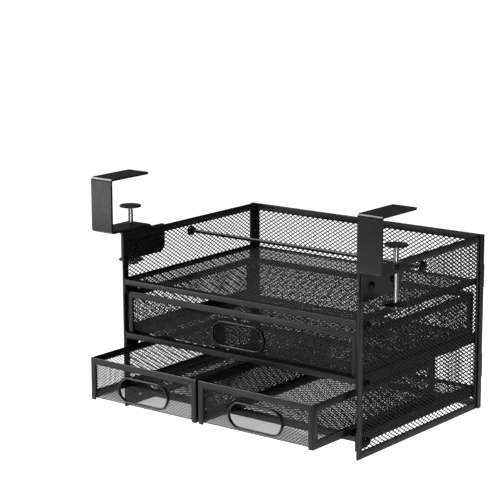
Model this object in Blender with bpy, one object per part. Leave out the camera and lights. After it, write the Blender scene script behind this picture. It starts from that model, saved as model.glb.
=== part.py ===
# Under-desk drawer organiser that clamps to a desk edge: a black steel mesh cabinet with one wide
# drawer over two small ones, three mesh trays, a tie rod and two screw clamps. Metres, Z up.
import math
import bpy
import bmesh
from mathutils.geometry import tessellate_polygon
from mathutils import Matrix, Vector

for ob in list(bpy.data.objects):
    bpy.data.objects.remove(ob, do_unlink=True)

# ---- sizes in millimetres -------------------------------------------------------------------
CAB_W = 338.0        # outside width over the two side panels
CAB_D = 252.0        # side panel depth
PANEL_T = 2.5        # hemmed panel frame thickness
MESH_T = 1.0         # expanded mesh plate thickness
SHEET = 1.5          # bent sheet thickness
STRIP = 9.0          # panel frame strip width
GAP = 0.3            # clearance between parts that touch

DRAWER_H = 50.0
BAY_CLEAR = 14.5     # free height over each drawer up to the next tray level
FLOOR_Z = 27.0       # lowest tray above the bottom of the side panels
SHELF_H = 54.0       # open shelf above the top tray
TRAY_FRONT = 0.5
TRAY_REAR_GAP = 3.0  # the trays stop this far short of the side panels' rear edge
TRAY_STRIP = 10.0
TRAY_FLANGE = 10.5   # downward side flange of the lower trays
TOP_FLANGE = 4.5     # and of the top tray
TRAY_RIM = 2.0       # side flanges stand this far above the tray
TRAY_LIP = 6.0       # downward front lip
EAR_DEPTH = 26.0     # bolted ear, measured back from the front edge
EAR_DROP = 17.0
BOLT_Y = 19.5        # tray bolts behind the front edge
BOLT_DROP = 9.5      # tray bolts below the tray level
BOLT_R = 1.9         # M4 shank
BOLT_CLEAR = 0.5     # room round a shank
BOLT_REACH = 5.0     # shank length past the panel's inner face
HEAD_R, HEAD_H = 4.5, 2.8

DRAWER_CLOSED_Y = 4.0
DRAWER_REAR_GAP = 9.0
WIDE_SIDE = 2.5      # room on each side of the wide drawer
SMALL_SIDE = 7.8     # room on the outer side of each small drawer
SMALL_GAP = 3.8      # between the two small drawers
SMALL_OUT = 72.0     # how far the two small drawers stand open
RAIL_TOP = 8.4
RAIL_BOTTOM = 10.0
POST_SIDE = 9.0      # front posts seen from the side
POST_REAR = 13.0     # rear posts
POST_FRONT = 6.5
FRONT_STRIP = 7.5    # top strip of the front and back
PULL_W = 75.0        # outside of the pull ring
PULL_RIM = 2.0
PULL_BELOW = 4.75    # drawer bottom to the ring
PULL_ABOVE = 7.25    # ring to the front strip
PULL_OUT, PULL_IN = 0.3, 3.5

CLAMP_SIDE = 5.0     # clamp strip outboard of the side panel
CLAMP_W = 31.0
CLAMP_T = 3.0
CLAMP_R = 3.5        # outside of the bends
CLAMP_OUT = 11.5     # web in front of the cabinet
CLAMP_ARM = 66.5
CLAMP_H = 65.7       # over both arms
TAB_T = 2.5
TAB_FRONT, TAB_REAR = 2.0, 78.0
TAB_DROP = 33.0      # tab below the panel's top edge
TAB_BOLTS = (20.5, 62.0)
TAB_BOLT_DROP = 18.0
CLAMP_OPEN = 36.2    # free height between the pad and the upper arm, as stored
SCREW_Y = 39.5
SCREW_R = 3.0        # M6
SCREW_CLEAR = 0.3    # in the nut, the pad's socket and the knob
SCREW_L = 67.5
PAD_R, PAD_H = 13.0, 2.5
SOCKET_WALL, SOCKET_H = 1.3, 1.5
TIP_DROP = 1.8       # screw tip below the pad's face
KNOB_R, KNOB_H = 15.0, 1.7
GRIP_R, GRIP_H = 8.25, 4.6
KNOB_SOLID = 2.2     # solid knob under the screw's end
NUT_H, NUT_WALL = 4.0, 1.7

ROD_R, ROD_DROP, ROD_CAP_R, ROD_CAP_T = 2.25, 15.7, 5.6, 1.5
HOOK_LOW, HOOK_TOP, HOOK_L, HOOK_OUT = 37.0, 36.0, 28.2, 6.2   # rear hooks of the side panels

# ---- places that follow from the sizes ------------------------------------------------------
LEVEL_STEP = DRAWER_H + BAY_CLEAR
TRAY_LEVELS = {"top": FLOOR_Z + 2 * LEVEL_STEP, "middle": FLOOR_Z + LEVEL_STEP, "bottom": FLOOR_Z}
CAB_H = TRAY_LEVELS["top"] + SHELF_H
TRAY_REAR = CAB_D - TRAY_REAR_GAP
HALF = CAB_W / 2.0
IN_FACE = HALF - PANEL_T
MESH_IN = IN_FACE + (PANEL_T - MESH_T) / 2.0
MESH_OUT = MESH_IN + MESH_T
DRAWER_D = CAB_D - DRAWER_CLOSED_Y - DRAWER_REAR_GAP
WIDE_W = 2 * (IN_FACE - WIDE_SIDE)
SMALL_W = IN_FACE - SMALL_SIDE - SMALL_GAP / 2.0
PULL_H = DRAWER_H - FRONT_STRIP - PULL_BELOW - PULL_ABOVE
PULL_Z = PULL_BELOW + PULL_H / 2.0
CLAMP_IN = HALF + CLAMP_SIDE
CLAMP_MID = CLAMP_IN + CLAMP_W / 2.0
CLAMP_FRONT, CLAMP_REAR = -CLAMP_OUT, CLAMP_ARM - CLAMP_OUT
CLAMP_Z0 = CAB_H + GAP
CLAMP_Z1 = CLAMP_Z0 + CLAMP_H
TAB_Z0 = CAB_H - TAB_DROP
TAB_BOLT_Z = CAB_H - TAB_BOLT_DROP
PAD_TOP = CLAMP_Z1 - CLAMP_T - CLAMP_OPEN
SCREW_TOP = PAD_TOP - TIP_DROP
SCREW_END = SCREW_TOP - SCREW_L
SCREW_HOLE = SCREW_R + SCREW_CLEAR
SHANK_HOLE = BOLT_R + BOLT_CLEAR
ROD_Y, ROD_Z = CAB_D / 2.0, CAB_H - ROD_DROP
HOOKS = ((HOOK_LOW, HOOK_LOW + HOOK_L), (CAB_H - HOOK_TOP - HOOK_L, CAB_H - HOOK_TOP))
HOOK_REAR = CAB_D + HOOK_OUT
Y_MIN = DRAWER_CLOSED_Y - SMALL_OUT - PULL_OUT
Y_SHIFT = -(Y_MIN + HOOK_REAR) / 2.0     # puts the origin under the middle of the whole part

BLACK = (0.016, 0.016, 0.017, 1.0)
ZINC = (0.62, 0.63, 0.65, 1.0)


# ---- building helpers -----------------------------------------------------------------------
def material(name, color, metallic, rough):
    mat = bpy.data.materials.new(name)
    mat.use_nodes = True
    bsdf = mat.node_tree.nodes["Principled BSDF"]
    bsdf.inputs["Base Color"].default_value = color
    bsdf.inputs["Metallic"].default_value = metallic
    bsdf.inputs["Roughness"].default_value = rough
    mat.diffuse_color = color
    return mat


def new_object(name, bm):
    bmesh.ops.recalc_face_normals(bm, faces=bm.faces[:])
    mesh = bpy.data.meshes.new(name)
    bm.to_mesh(mesh)
    bm.free()
    ob = bpy.data.objects.new(name, mesh)
    bpy.context.scene.collection.objects.link(ob)
    return ob


def place(axis, u, v, w):
    """u, v in the section plane, w along the axis, all in mm."""
    if axis == "X":
        x, y, z = w, u, v
    elif axis == "Y":
        x, y, z = u, w, v
    else:
        x, y, z = u, v, w
    return ((x) / 1000.0, (y + Y_SHIFT) / 1000.0, z / 1000.0)


def prism(name, axis, a, b, outer, holes=()):
    """Solid plate: a flat outline with holes, swept along one axis from a to b."""
    bm = bmesh.new()
    loops = [list(outer)] + [list(h) for h in holes]
    flat = [p for loop in loops for p in loop]
    tris = tessellate_polygon([[Vector((p[0], p[1], 0.0)) for p in loop] for loop in loops])
    low = [bm.verts.new(place(axis, p[0], p[1], min(a, b))) for p in flat]
    high = [bm.verts.new(place(axis, p[0], p[1], max(a, b))) for p in flat]
    for t in tris:
        bm.faces.new([low[i] for i in t])
        bm.faces.new([high[i] for i in reversed(t)])
    start = 0
    for loop in loops:
        n = len(loop)
        for i in range(n):
            j = (i + 1) % n
            bm.faces.new([low[start + i], low[start + j], high[start + j], high[start + i]])
        start += n
    return new_object(name, bm)


def rect(u0, v0, u1, v1):
    return [(u0, v0), (u1, v0), (u1, v1), (u0, v1)]


def circle(u, v, r, n=16):
    return [(u + r * math.cos(2 * math.pi * i / n), v + r * math.sin(2 * math.pi * i / n)) for i in range(n)]


def stadium(u, v, w, h, n=8):
    r = h / 2.0
    pts = []
    for side, start in ((1, -90), (-1, 90)):
        for i in range(n + 1):
            t = math.radians(start + 180.0 * i / n)
            pts.append((u + side * (w / 2.0 - r) + r * math.cos(t), v + r * math.sin(t)))
    return pts


def lathe(name, axis, cu, cv, profile, n=24):
    """Turned solid: profile of (radius, position along the axis); ends lie on the axis."""
    bm = bmesh.new()
    rings = []
    for r, w in profile:
        if r < 1e-6:
            rings.append([bm.verts.new(place(axis, cu, cv, w))])
        else:
            rings.append([bm.verts.new(place(axis, p[0], p[1], w)) for p in circle(cu, cv, r, n)])
    for k in range(len(rings) - 1):
        p, q = rings[k], rings[k + 1]
        for i in range(n):
            j = (i + 1) % n
            if len(p) == 1:
                bm.faces.new([p[0], q[i], q[j]])
            elif len(q) == 1:
                bm.faces.new([p[i], q[0], p[j]])
            else:
                bm.faces.new([p[i], q[i], q[j], p[j]])
    return new_object(name, bm)


def combine(base, adds=(), cuts=()):
    """Weld extra solids on and cut others away, leaving one closed body."""
    for kind, group in (("UNION", adds), ("DIFFERENCE", cuts)):
        for tool in group:
            mod = base.modifiers.new("join", "BOOLEAN")
            mod.operation = kind
            mod.solver = "EXACT"
            mod.object = tool
    bpy.context.view_layer.update()
    done = bpy.data.meshes.new_from_object(base.evaluated_get(bpy.context.evaluated_depsgraph_get()))
    base.modifiers.clear()
    old = base.data
    base.data = done
    bpy.data.meshes.remove(old)
    for tool in list(adds) + list(cuts):
        bpy.data.objects.remove(tool, do_unlink=True)
    bm = bmesh.new()
    bm.from_mesh(base.data)
    bmesh.ops.remove_doubles(bm, verts=bm.verts[:], dist=1e-6)
    bmesh.ops.dissolve_degenerate(bm, dist=1e-6, edges=bm.edges[:])
    bmesh.ops.recalc_face_normals(bm, faces=bm.faces[:])
    bm.to_mesh(base.data)
    bm.free()
    return base


def finish_part(ob, name, color, metallic, rough):
    """Name, colour and shade a part, and put its origin at its middle, which is on the axis of a turned part."""
    lo = [min(v.co[i] for v in ob.data.vertices) for i in range(3)]
    hi = [max(v.co[i] for v in ob.data.vertices) for i in range(3)]
    mid = Vector([round((lo[i] + hi[i]) / 2.0, 6) for i in range(3)])
    ob.data.transform(Matrix.Translation(-mid))
    ob.location = mid
    ob.data.shade_smooth()
    ob.data.set_sharp_from_angle(angle=math.radians(35))
    ob.name = name
    ob.data.name = name
    ob.data.materials.clear()
    ob.data.materials.append(material(name, color, metallic, rough))
    return ob


def black(ob, name):
    return finish_part(ob, name, BLACK, 0.3, 0.45)


def zinc(ob, name):
    return finish_part(ob, name, ZINC, 1.0, 0.28)


# ---- side panels: hemmed frame with two rear hooks, and a mesh plate in its window -----------
for tag, s in (("left", -1), ("right", 1)):
    outline = [(0, 0), (CAB_D, 0)]
    for z0, z1 in HOOKS:
        outline += [(CAB_D, z0), (HOOK_REAR, z0), (HOOK_REAR, z1), (CAB_D, z1)]
    outline += [(CAB_D, CAB_H), (0, CAB_H)]
    frame = prism("f", "X", s * IN_FACE, s * HALF, outline, [rect(STRIP, STRIP, CAB_D - STRIP, CAB_H - STRIP)])
    black(frame, "side_frame_" + tag)
    holes = [circle(BOLT_Y, lv - BOLT_DROP, SHANK_HOLE) for lv in TRAY_LEVELS.values()]
    holes += [circle(y, TAB_BOLT_Z, SHANK_HOLE) for y in TAB_BOLTS] + [circle(ROD_Y, ROD_Z, SHANK_HOLE)]
    mesh = prism("m", "X", s * MESH_IN, s * MESH_OUT,
                 rect(STRIP + GAP, STRIP + GAP, CAB_D - STRIP - GAP, CAB_H - STRIP - GAP), holes)
    black(mesh, "side_mesh_" + tag)

# ---- back panel: frame with wrapped side flanges and slots for the side panel hooks ----------
BACK_HALF = HALF + GAP + SHEET
BACK_Y0, BACK_Y1 = CAB_D + GAP, CAB_D + GAP + SHEET
BACK_IN = BACK_HALF - TRAY_STRIP
slots = [rect(min(s * (IN_FACE - 0.4), s * (HALF + GAP)), z0 - 0.4, max(s * (IN_FACE - 0.4), s * (HALF + GAP)), z1 + 0.4)
         for s in (-1, 1) for z0, z1 in HOOKS]
back = prism("b", "Y", BACK_Y0, BACK_Y1, rect(-BACK_HALF, 0, BACK_HALF, CAB_H),
             [rect(-BACK_IN, STRIP, BACK_IN, CAB_H - STRIP)] + slots)
wraps = [prism("w", "Y", BACK_Y0 - 6.3, BACK_Y0 + 0.7,
               rect(min(s * (HALF + GAP), s * BACK_HALF), 0, max(s * (HALF + GAP), s * BACK_HALF), CAB_H)) for s in (-1, 1)]
black(combine(back, wraps), "back_frame")
black(prism("m", "Y", BACK_Y0 + 0.25, BACK_Y0 + 0.25 + MESH_T,
            rect(-BACK_IN + GAP, STRIP + GAP, BACK_IN - GAP, CAB_H - STRIP - GAP)), "back_mesh")

# ---- three fixed trays: flat frame, front lip, downward side flanges with bolted ears --------
TRAY_HALF = IN_FACE - GAP
for tag, lv in TRAY_LEVELS.items():
    y0 = TRAY_FRONT
    ring = prism("t", "Z", lv - SHEET, lv, rect(-TRAY_HALF, y0, TRAY_HALF, TRAY_REAR),
                 [rect(-TRAY_HALF + TRAY_STRIP, y0 + TRAY_STRIP, TRAY_HALF - TRAY_STRIP, TRAY_REAR - TRAY_STRIP)])
    parts = [prism("lip", "Y", y0, y0 + SHEET, rect(-TRAY_HALF, lv - TRAY_LIP, TRAY_HALF, lv - 0.5))]
    flange = TOP_FLANGE if tag == "top" else TRAY_FLANGE
    for s in (-1, 1):
        side = [(y0, lv - EAR_DROP), (EAR_DEPTH - 5, lv - EAR_DROP), (EAR_DEPTH, lv - EAR_DROP + 5),
                (EAR_DEPTH, lv - flange), (TRAY_REAR, lv - flange), (TRAY_REAR, lv + TRAY_RIM), (y0, lv + TRAY_RIM)]
        parts.append(prism("fl", "X", s * (TRAY_HALF - SHEET), s * TRAY_HALF, side,
                           [circle(BOLT_Y, lv - BOLT_DROP, SHANK_HOLE)]))
    black(combine(ring, parts), "tray_frame_" + tag)
    black(prism("m", "Z", lv - 0.25 - MESH_T, lv - 0.25,
                rect(-TRAY_HALF + TRAY_STRIP + GAP, y0 + TRAY_STRIP + GAP,
                     TRAY_HALF - TRAY_STRIP - GAP, TRAY_REAR - TRAY_STRIP - GAP)), "tray_mesh_" + tag)


# ---- drawers --------------------------------------------------------------------------------
def drawer(tag, cx, w, front, zb):
    h = w / 2.0
    rear = front + DRAWER_D
    window = rect(front + POST_SIDE, zb + RAIL_BOTTOM, rear - POST_REAR, zb + DRAWER_H - RAIL_TOP)
    left = prism("l", "X", cx - h, cx - h + SHEET, rect(front, zb, rear, zb + DRAWER_H), [window])
    right = prism("r", "X", cx + h - SHEET, cx + h, rect(front, zb, rear, zb + DRAWER_H), [window])
    zt = zb + DRAWER_H
    hoop = [(cx - h, zb), (cx - h + POST_FRONT, zb), (cx - h + POST_FRONT, zt - FRONT_STRIP),
            (cx + h - POST_FRONT, zt - FRONT_STRIP), (cx + h - POST_FRONT, zb), (cx + h, zb), (cx + h, zt), (cx - h, zt)]
    front_hoop = prism("a", "Y", front, front + SHEET, hoop)
    rear_hoop = prism("b", "Y", rear - SHEET, rear, hoop)
    black(combine(front_hoop, [left, right, rear_hoop]), tag + "_frame")
    # mesh wrap: front, floor and back in one folded piece
    a, b = front + SHEET + GAP, rear - SHEET - GAP
    f, t, top = zb + 1.0, MESH_T, zt - 1.0
    bend = 3.0
    outer_left = [(a, top), (a, f + bend), (a + 0.9, f + 0.9), (a + bend, f)]
    outer_right = [(b - bend, f), (b - 0.9, f + 0.9), (b, f + bend), (b, top)]
    inner_right = [(b - t, top), (b - t, f + bend + 0.2), (b - t - 0.6, f + t + 0.6), (b - bend - 0.2, f + t)]
    inner_left = [(a + bend + 0.2, f + t), (a + t + 0.6, f + t + 0.6), (a + t, f + bend + 0.2), (a + t, top)]
    wrap = prism("w", "X", cx - h + SHEET + GAP, cx + h - SHEET - GAP, outer_left + outer_right + inner_right + inner_left)
    hole = prism("h", "Y", a - 2.0, a + t + 2.0, stadium(cx, zb + PULL_Z, PULL_W + 2 * GAP, PULL_H + 2 * GAP))
    black(combine(wrap, (), [hole]), tag + "_mesh")
    for side, s in (("left", -1), ("right", 1)):
        x = cx + s * h
        black(prism("s", "X", x - s * 0.25, x - s * (0.25 + MESH_T),
                    rect(front + POST_SIDE + GAP, zb + RAIL_BOTTOM + GAP, rear - POST_REAR - GAP, zt - RAIL_TOP - GAP)),
              tag + "_side_mesh_" + side)
    black(prism("p", "Y", front - PULL_OUT, front + PULL_IN, stadium(cx, zb + PULL_Z, PULL_W, PULL_H),
                [stadium(cx, zb + PULL_Z, PULL_W - 2 * PULL_RIM, PULL_H - 2 * PULL_RIM)]), tag + "_pull_ring")


SMALL_X = (SMALL_GAP + SMALL_W) / 2.0
SMALL_FRONT = DRAWER_CLOSED_Y - SMALL_OUT
drawer("wide_drawer", 0.0, WIDE_W, DRAWER_CLOSED_Y, TRAY_LEVELS["middle"] + GAP)
drawer("left_drawer", -SMALL_X, SMALL_W, SMALL_FRONT, TRAY_LEVELS["bottom"] + GAP)
drawer("right_drawer", SMALL_X, SMALL_W, SMALL_FRONT, TRAY_LEVELS["bottom"] + GAP)

# ---- tie rod between the side panels and its two end screws ----------------------------------
end, neck = MESH_IN - 0.2, MESH_IN - 0.2 - ROD_CAP_T
black(lathe("r", "X", ROD_Y, ROD_Z, [(0, -end), (ROD_CAP_R, -end), (ROD_CAP_R, -neck), (ROD_R, -neck),
                                     (ROD_R, neck), (ROD_CAP_R, neck), (ROD_CAP_R, end), (0, end)]), "tie_rod")


def panel_screw(name, s, y, z, face, head_r, head_h, reach):
    """Domed head on the outside of a panel with a plain shank through it."""
    x = s * face
    prof = [(0, s * reach), (BOLT_R, s * reach), (BOLT_R, x), (head_r, x), (head_r, x + s * head_h * 0.35),
            (head_r * 0.8, x + s * head_h * 0.75), (head_r * 0.4, x + s * head_h * 0.97), (0, x + s * head_h)]
    black(lathe("s", "X", y, z, prof), name)


for tag, s in (("left", -1), ("right", 1)):
    panel_screw("tie_rod_screw_" + tag, s, ROD_Y, ROD_Z, MESH_OUT + 0.15, 6.0, 2.4, MESH_IN + 0.1)
    for row, lv in TRAY_LEVELS.items():
        panel_screw("tray_bolt_%s_%s" % (row, tag), s, BOLT_Y, lv - BOLT_DROP, MESH_OUT + 0.15,
                    HEAD_R, HEAD_H, IN_FACE - BOLT_REACH)

# ---- clamps ---------------------------------------------------------------------------------
for tag, s in (("left", -1), ("right", 1)):
    t, r = CLAMP_T, CLAMP_R
    F, R, B, T = CLAMP_FRONT, CLAMP_REAR, CLAMP_Z0, CLAMP_Z1
    k = r * (1 - math.sqrt(0.5))
    c_section = [(R, B), (R, B + t), (F + t, B + t), (F + t, T - t), (R, T - t), (R, T), (F + r, T), (F + k, T - k), (F, T - r),
                 (F, B + r), (F + k, B + k), (F + r, B)]
    strip = prism("c", "X", s * CLAMP_IN, s * (CLAMP_IN + CLAMP_W), c_section)
    neck = prism("n", "Z", B, B + t, rect(min(s * (HALF + GAP), s * (CLAMP_IN + 1)), TAB_FRONT,
                                          max(s * (HALF + GAP), s * (CLAMP_IN + 1)), R))
    tab_side = [(TAB_FRONT, TAB_Z0), (TAB_REAR - 7, TAB_Z0), (TAB_REAR, TAB_Z0 + 7), (TAB_REAR, B + t), (TAB_FRONT, B + t)]
    tab = prism("t", "X", s * (HALF + GAP), s * (HALF + GAP + TAB_T), tab_side,
                [circle(y, TAB_BOLT_Z, SHANK_HOLE) for y in TAB_BOLTS])
    bore = lathe("h", "Z", s * CLAMP_MID, SCREW_Y, [(0, B - 2), (SCREW_HOLE + 0.2, B - 2),
                                                 (SCREW_HOLE + 0.2, B + t + 2), (0, B + t + 2)])
    black(combine(strip, [neck, tab], [bore]), "clamp_bracket_" + tag)
    for where, y in zip(("front", "rear"), TAB_BOLTS):
        panel_screw("clamp_bolt_%s_%s" % (where, tag), s, y, TAB_BOLT_Z, HALF + GAP + TAB_T + 0.15,
                    HEAD_R, HEAD_H, IN_FACE - 3.0)
    cx = s * CLAMP_MID
    zinc(prism("n", "Z", B - GAP - NUT_H, B - GAP, circle(cx, SCREW_Y, (SCREW_HOLE + NUT_WALL) * 2 / math.sqrt(3), 6),
               [circle(cx, SCREW_Y, SCREW_HOLE)]), "weld_nut_" + tag)
    zinc(lathe("s", "Z", cx, SCREW_Y, [(0, SCREW_END), (SCREW_R - 0.6, SCREW_END), (SCREW_R, SCREW_END + 0.8),
                                       (SCREW_R, SCREW_TOP - 0.8), (SCREW_R - 0.6, SCREW_TOP), (0, SCREW_TOP)]),
         "clamp_screw_" + tag)
    hub = SCREW_END - GAP
    low = hub - KNOB_SOLID
    rim = low + GRIP_H + KNOB_H
    black(lathe("k", "Z", cx, SCREW_Y, [(0, low), (GRIP_R - 0.8, low), (GRIP_R, low + 0.8), (GRIP_R, low + GRIP_H),
                                        (KNOB_R, low + GRIP_H + 0.2), (KNOB_R, rim - 0.5), (KNOB_R - 0.5, rim),
                                        (SCREW_HOLE, rim), (SCREW_HOLE, hub), (0, hub)]), "clamp_knob_" + tag)
    face, tip, socket = PAD_TOP - PAD_H, SCREW_TOP + GAP, SCREW_HOLE + SOCKET_WALL
    black(lathe("p", "Z", cx, SCREW_Y, [(0, tip), (SCREW_HOLE, tip), (SCREW_HOLE, face - SOCKET_H), (socket, face - SOCKET_H),
                                        (socket, face), (PAD_R - 0.5, face), (PAD_R, face + 0.5), (PAD_R, PAD_TOP - 0.4),
                                        (PAD_R - 0.4, PAD_TOP), (0, PAD_TOP)], 32), "clamp_pad_" + tag)

# ---- groups: an empty for the cabinet, each drawer and each clamp's pad, on the axis it moves along --
groups = {
    "cabinet": (0.0, 0.0, 0.0),
    "wide_drawer": (0.0, DRAWER_CLOSED_Y, TRAY_LEVELS["middle"] + GAP),
    "left_drawer": (-SMALL_X, SMALL_FRONT, TRAY_LEVELS["bottom"] + GAP),
    "right_drawer": (SMALL_X, SMALL_FRONT, TRAY_LEVELS["bottom"] + GAP),
    "clamp_left": (-CLAMP_MID, SCREW_Y, PAD_TOP),
    "clamp_right": (CLAMP_MID, SCREW_Y, PAD_TOP),
}
empties = {}
for name, (x, y, z) in groups.items():
    empty = bpy.data.objects.new(name + "_group", None)
    empty.location = place("Z", x, y, z)
    bpy.context.scene.collection.objects.link(empty)
    empties[name] = empty
for ob in list(bpy.context.scene.collection.objects):
    if ob.type != "MESH":
        continue
    owner = "cabinet"
    for name in ("wide_drawer", "left_drawer", "right_drawer"):
        if ob.name.startswith(name + "_"):
            owner = name
    for side in ("left", "right"):
        if ob.name in ("clamp_pad_" + side, "clamp_screw_" + side, "clamp_knob_" + side):
            owner = "clamp_" + side
    ob.parent = empties[owner]
    ob.location = ob.location - empties[owner].location
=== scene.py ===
import math
import bmesh
import bpy
import numpy as np
from mathutils import Matrix, Vector


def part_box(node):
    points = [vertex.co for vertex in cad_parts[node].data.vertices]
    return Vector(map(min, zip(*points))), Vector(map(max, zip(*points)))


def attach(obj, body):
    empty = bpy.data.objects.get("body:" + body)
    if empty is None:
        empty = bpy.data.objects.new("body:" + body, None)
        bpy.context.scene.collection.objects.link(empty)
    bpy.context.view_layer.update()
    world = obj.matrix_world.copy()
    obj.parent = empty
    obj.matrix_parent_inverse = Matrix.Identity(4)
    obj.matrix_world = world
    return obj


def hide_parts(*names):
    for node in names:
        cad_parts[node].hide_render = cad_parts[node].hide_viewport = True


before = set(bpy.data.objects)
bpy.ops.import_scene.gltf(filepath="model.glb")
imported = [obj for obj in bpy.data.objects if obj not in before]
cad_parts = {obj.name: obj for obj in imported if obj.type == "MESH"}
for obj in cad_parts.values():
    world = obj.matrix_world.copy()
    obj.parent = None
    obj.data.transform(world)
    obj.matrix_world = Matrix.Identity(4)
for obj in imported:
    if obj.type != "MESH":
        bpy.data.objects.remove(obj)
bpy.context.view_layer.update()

MM = 0.001


# ==== Side panel frames ======================================================================
# Each side panel is a frame of 1 mm steel strip, folded back on itself to 2.5 mm thick, so all its
# edges are soft round hems. It is black powder coated steel: a satin plastic skin with a faint
# orange-peel texture that rounds every edge.
def linear(hex_colour):
    """An sRGB hex colour as linear RGBA."""
    parts = [int(hex_colour[i:i + 2], 16) / 255.0 for i in (1, 3, 5)]
    return tuple(c / 12.92 if c <= 0.04045 else ((c + 0.055) / 1.055) ** 2.4 for c in parts) + (1.0,)


def add(tree, kind, sockets=None, **settings):
    """Adds a node, with its settings, its socket values and its incoming links."""
    node = tree.nodes.new(kind)
    for key, value in settings.items():
        setattr(node, key, value)
    for key, value in (sockets or {}).items():
        if isinstance(value, bpy.types.NodeSocket):
            tree.links.new(value, node.inputs[key])
        else:
            node.inputs[key].default_value = value
    return node


def surface(name, dark, light, cloud_mm, rough, rough_mm, grain_mm, grain_depth_mm, metallic=0.0,
            stretch=(1, 1, 1)):
    """A material with cloudy colour, uneven roughness and a fine grain, all sized in millimetres."""
    mat = bpy.data.materials.new(name)
    mat.use_nodes = True
    tree = mat.node_tree
    shader = tree.nodes["Principled BSDF"]
    where = add(tree, "ShaderNodeTexCoord")
    placed = add(tree, "ShaderNodeMapping", {"Vector": where.outputs["Object"], "Scale": stretch})

    def noise(size_mm, detail):
        return add(tree, "ShaderNodeTexNoise", {
            "Vector": placed.outputs[0], "Scale": 1 / (size_mm * MM), "Detail": detail}).outputs["Fac"]

    tint = add(tree, "ShaderNodeValToRGB", {"Fac": noise(cloud_mm, 3.0)})
    tint.color_ramp.elements[0].position, tint.color_ramp.elements[0].color = 0.3, linear(dark)
    tint.color_ramp.elements[1].position, tint.color_ramp.elements[1].color = 0.7, linear(light)
    sheen = add(tree, "ShaderNodeMapRange", {
        "Value": noise(rough_mm, 4.0), "From Min": 0.3, "From Max": 0.7,
        "To Min": rough[0], "To Max": rough[1]})
    bump = add(tree, "ShaderNodeBump", {
        "Height": noise(grain_mm, 2.0), "Strength": 1.0, "Distance": grain_depth_mm * MM})
    shader.inputs["Metallic"].default_value = metallic
    tree.links.new(tint.outputs["Color"], shader.inputs["Base Color"])
    tree.links.new(sheen.outputs["Result"], shader.inputs["Roughness"])
    tree.links.new(bump.outputs["Normal"], shader.inputs["Normal"])
    return mat


powder_coat = surface("powder_coated_steel", "#101011", "#161617", 30, (0.27, 0.32), 9, 1.4, 0.008)


def keep(ob, body, replaced, mat):
    """Gives a finished piece its material, its body and the CAD pieces it stands for."""
    ob.data.materials.clear()
    ob.data.materials.append(mat)
    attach(ob, body)
    if replaced:
        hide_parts(*replaced)
    return ob


def as_object(name, mesh):
    ob = bpy.data.objects.new(name, mesh)
    bpy.context.scene.collection.objects.link(ob)
    return ob


def baked(ob, name):
    """The object with its modifiers worked in, as a plain mesh at the origin."""
    graph = bpy.context.evaluated_depsgraph_get()
    mesh = bpy.data.meshes.new_from_object(ob.evaluated_get(graph))
    old = ob.data
    ob.modifiers.clear()
    ob.data = mesh
    if old.users == 0:
        bpy.data.meshes.remove(old)
    ob.name = name
    mesh.name = name
    return ob


def eased(name, mesh, radius_mm, rings=3, turn=35):
    """Rounds every edge of a sheet-metal shape that turns more than the given angle."""
    ob = as_object(name, mesh)
    for face in mesh.polygons:
        face.use_smooth = True
    bevel = ob.modifiers.new("edges", "BEVEL")
    bevel.width = radius_mm * MM
    bevel.segments = rings
    bevel.limit_method = "ANGLE"
    bevel.angle_limit = math.radians(turn)
    bevel.harden_normals = True
    bpy.context.view_layer.update()
    return baked(ob, name)


def skin(node):
    """A merged copy of a CAD piece, with its flat faces joined up."""
    bm = bmesh.new()
    bm.from_mesh(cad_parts[node].data)
    bmesh.ops.remove_doubles(bm, verts=bm.verts[:], dist=2e-6)
    bmesh.ops.dissolve_limit(bm, angle_limit=math.radians(1), verts=bm.verts[:], edges=bm.edges[:])
    mesh = bpy.data.meshes.new(node + "_skin")
    bm.to_mesh(mesh)
    bm.free()
    return mesh


for side in ("left", "right"):
    node = "side_frame_" + side
    keep(eased(node + "_coated", skin(node), 0.95), "cabinet", [node], powder_coat)


# ==== Expanded metal of the side panels ======================================================
# The sheets are expanded steel, slit and stretched to diamonds 7.3 mm wide and 4.7 mm high, welded
# into the folded frames. The strands lean a little, as the slitting leaves them, and carry the
# same black powder coat.
expanded_coat = surface("powder_coated_expanded_steel", "#0c0c0d", "#131314", 22, (0.34, 0.48), 6, 1.1, 0.01)

cell_mesh = bpy.data.meshes.new("diamond_cell")
corners = [(0.5, 0.0), (0.0, 0.5), (-0.5, 0.0), (0.0, -0.5)]
cell_faces = []
for i in range(4):
    j = (i + 1) % 4
    cell_faces += [(i, j, 8 + j, 8 + i), (8 + i, 8 + j, 4 + j, 4 + i)]
cell_mesh.from_pydata([(x, y, z) for z in (1.0, -1.0, 0.0) for x, y in corners], [], cell_faces)
diamond_cell = as_object("diamond_cell", cell_mesh)


def node_group(name, sockets):
    """A geometry node group: the group, its inputs' identifiers by label, and the inputs inside it."""
    tree = bpy.data.node_groups.new(name, "GeometryNodeTree")
    identifiers = {}
    for label, kind in sockets:
        made = tree.interface.new_socket(label, in_out="INPUT", socket_type="NodeSocket" + kind)
        identifiers[label] = made.identifier
    tree.interface.new_socket("Geometry", in_out="OUTPUT", socket_type="NodeSocketGeometry")
    return tree, identifiers, add(tree, "NodeGroupInput").outputs


WELD_MM = 0.02   # strands' ends closer than this become one knot
expanded, expanded_inputs, given = node_group("expanded_metal", [
    ("Columns", "Int"), ("Rows", "Int"), ("Long Way", "Float"), ("Short Way", "Float"), ("Opening", "Float"),
    ("Thickness", "Float"), ("Lean", "Float"), ("Cut Width", "Float"), ("Cut Height", "Float"),
    ("Cut Along", "Float"), ("Cell", "Object"), ("Material", "Material")])


def maths(operation, a, b=0.0, c=0.0):
    """One sum in the expanded metal's group."""
    return add(expanded, "ShaderNodeMath", {0: a, 1: b, 2: c}, operation=operation).outputs[0]


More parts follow.
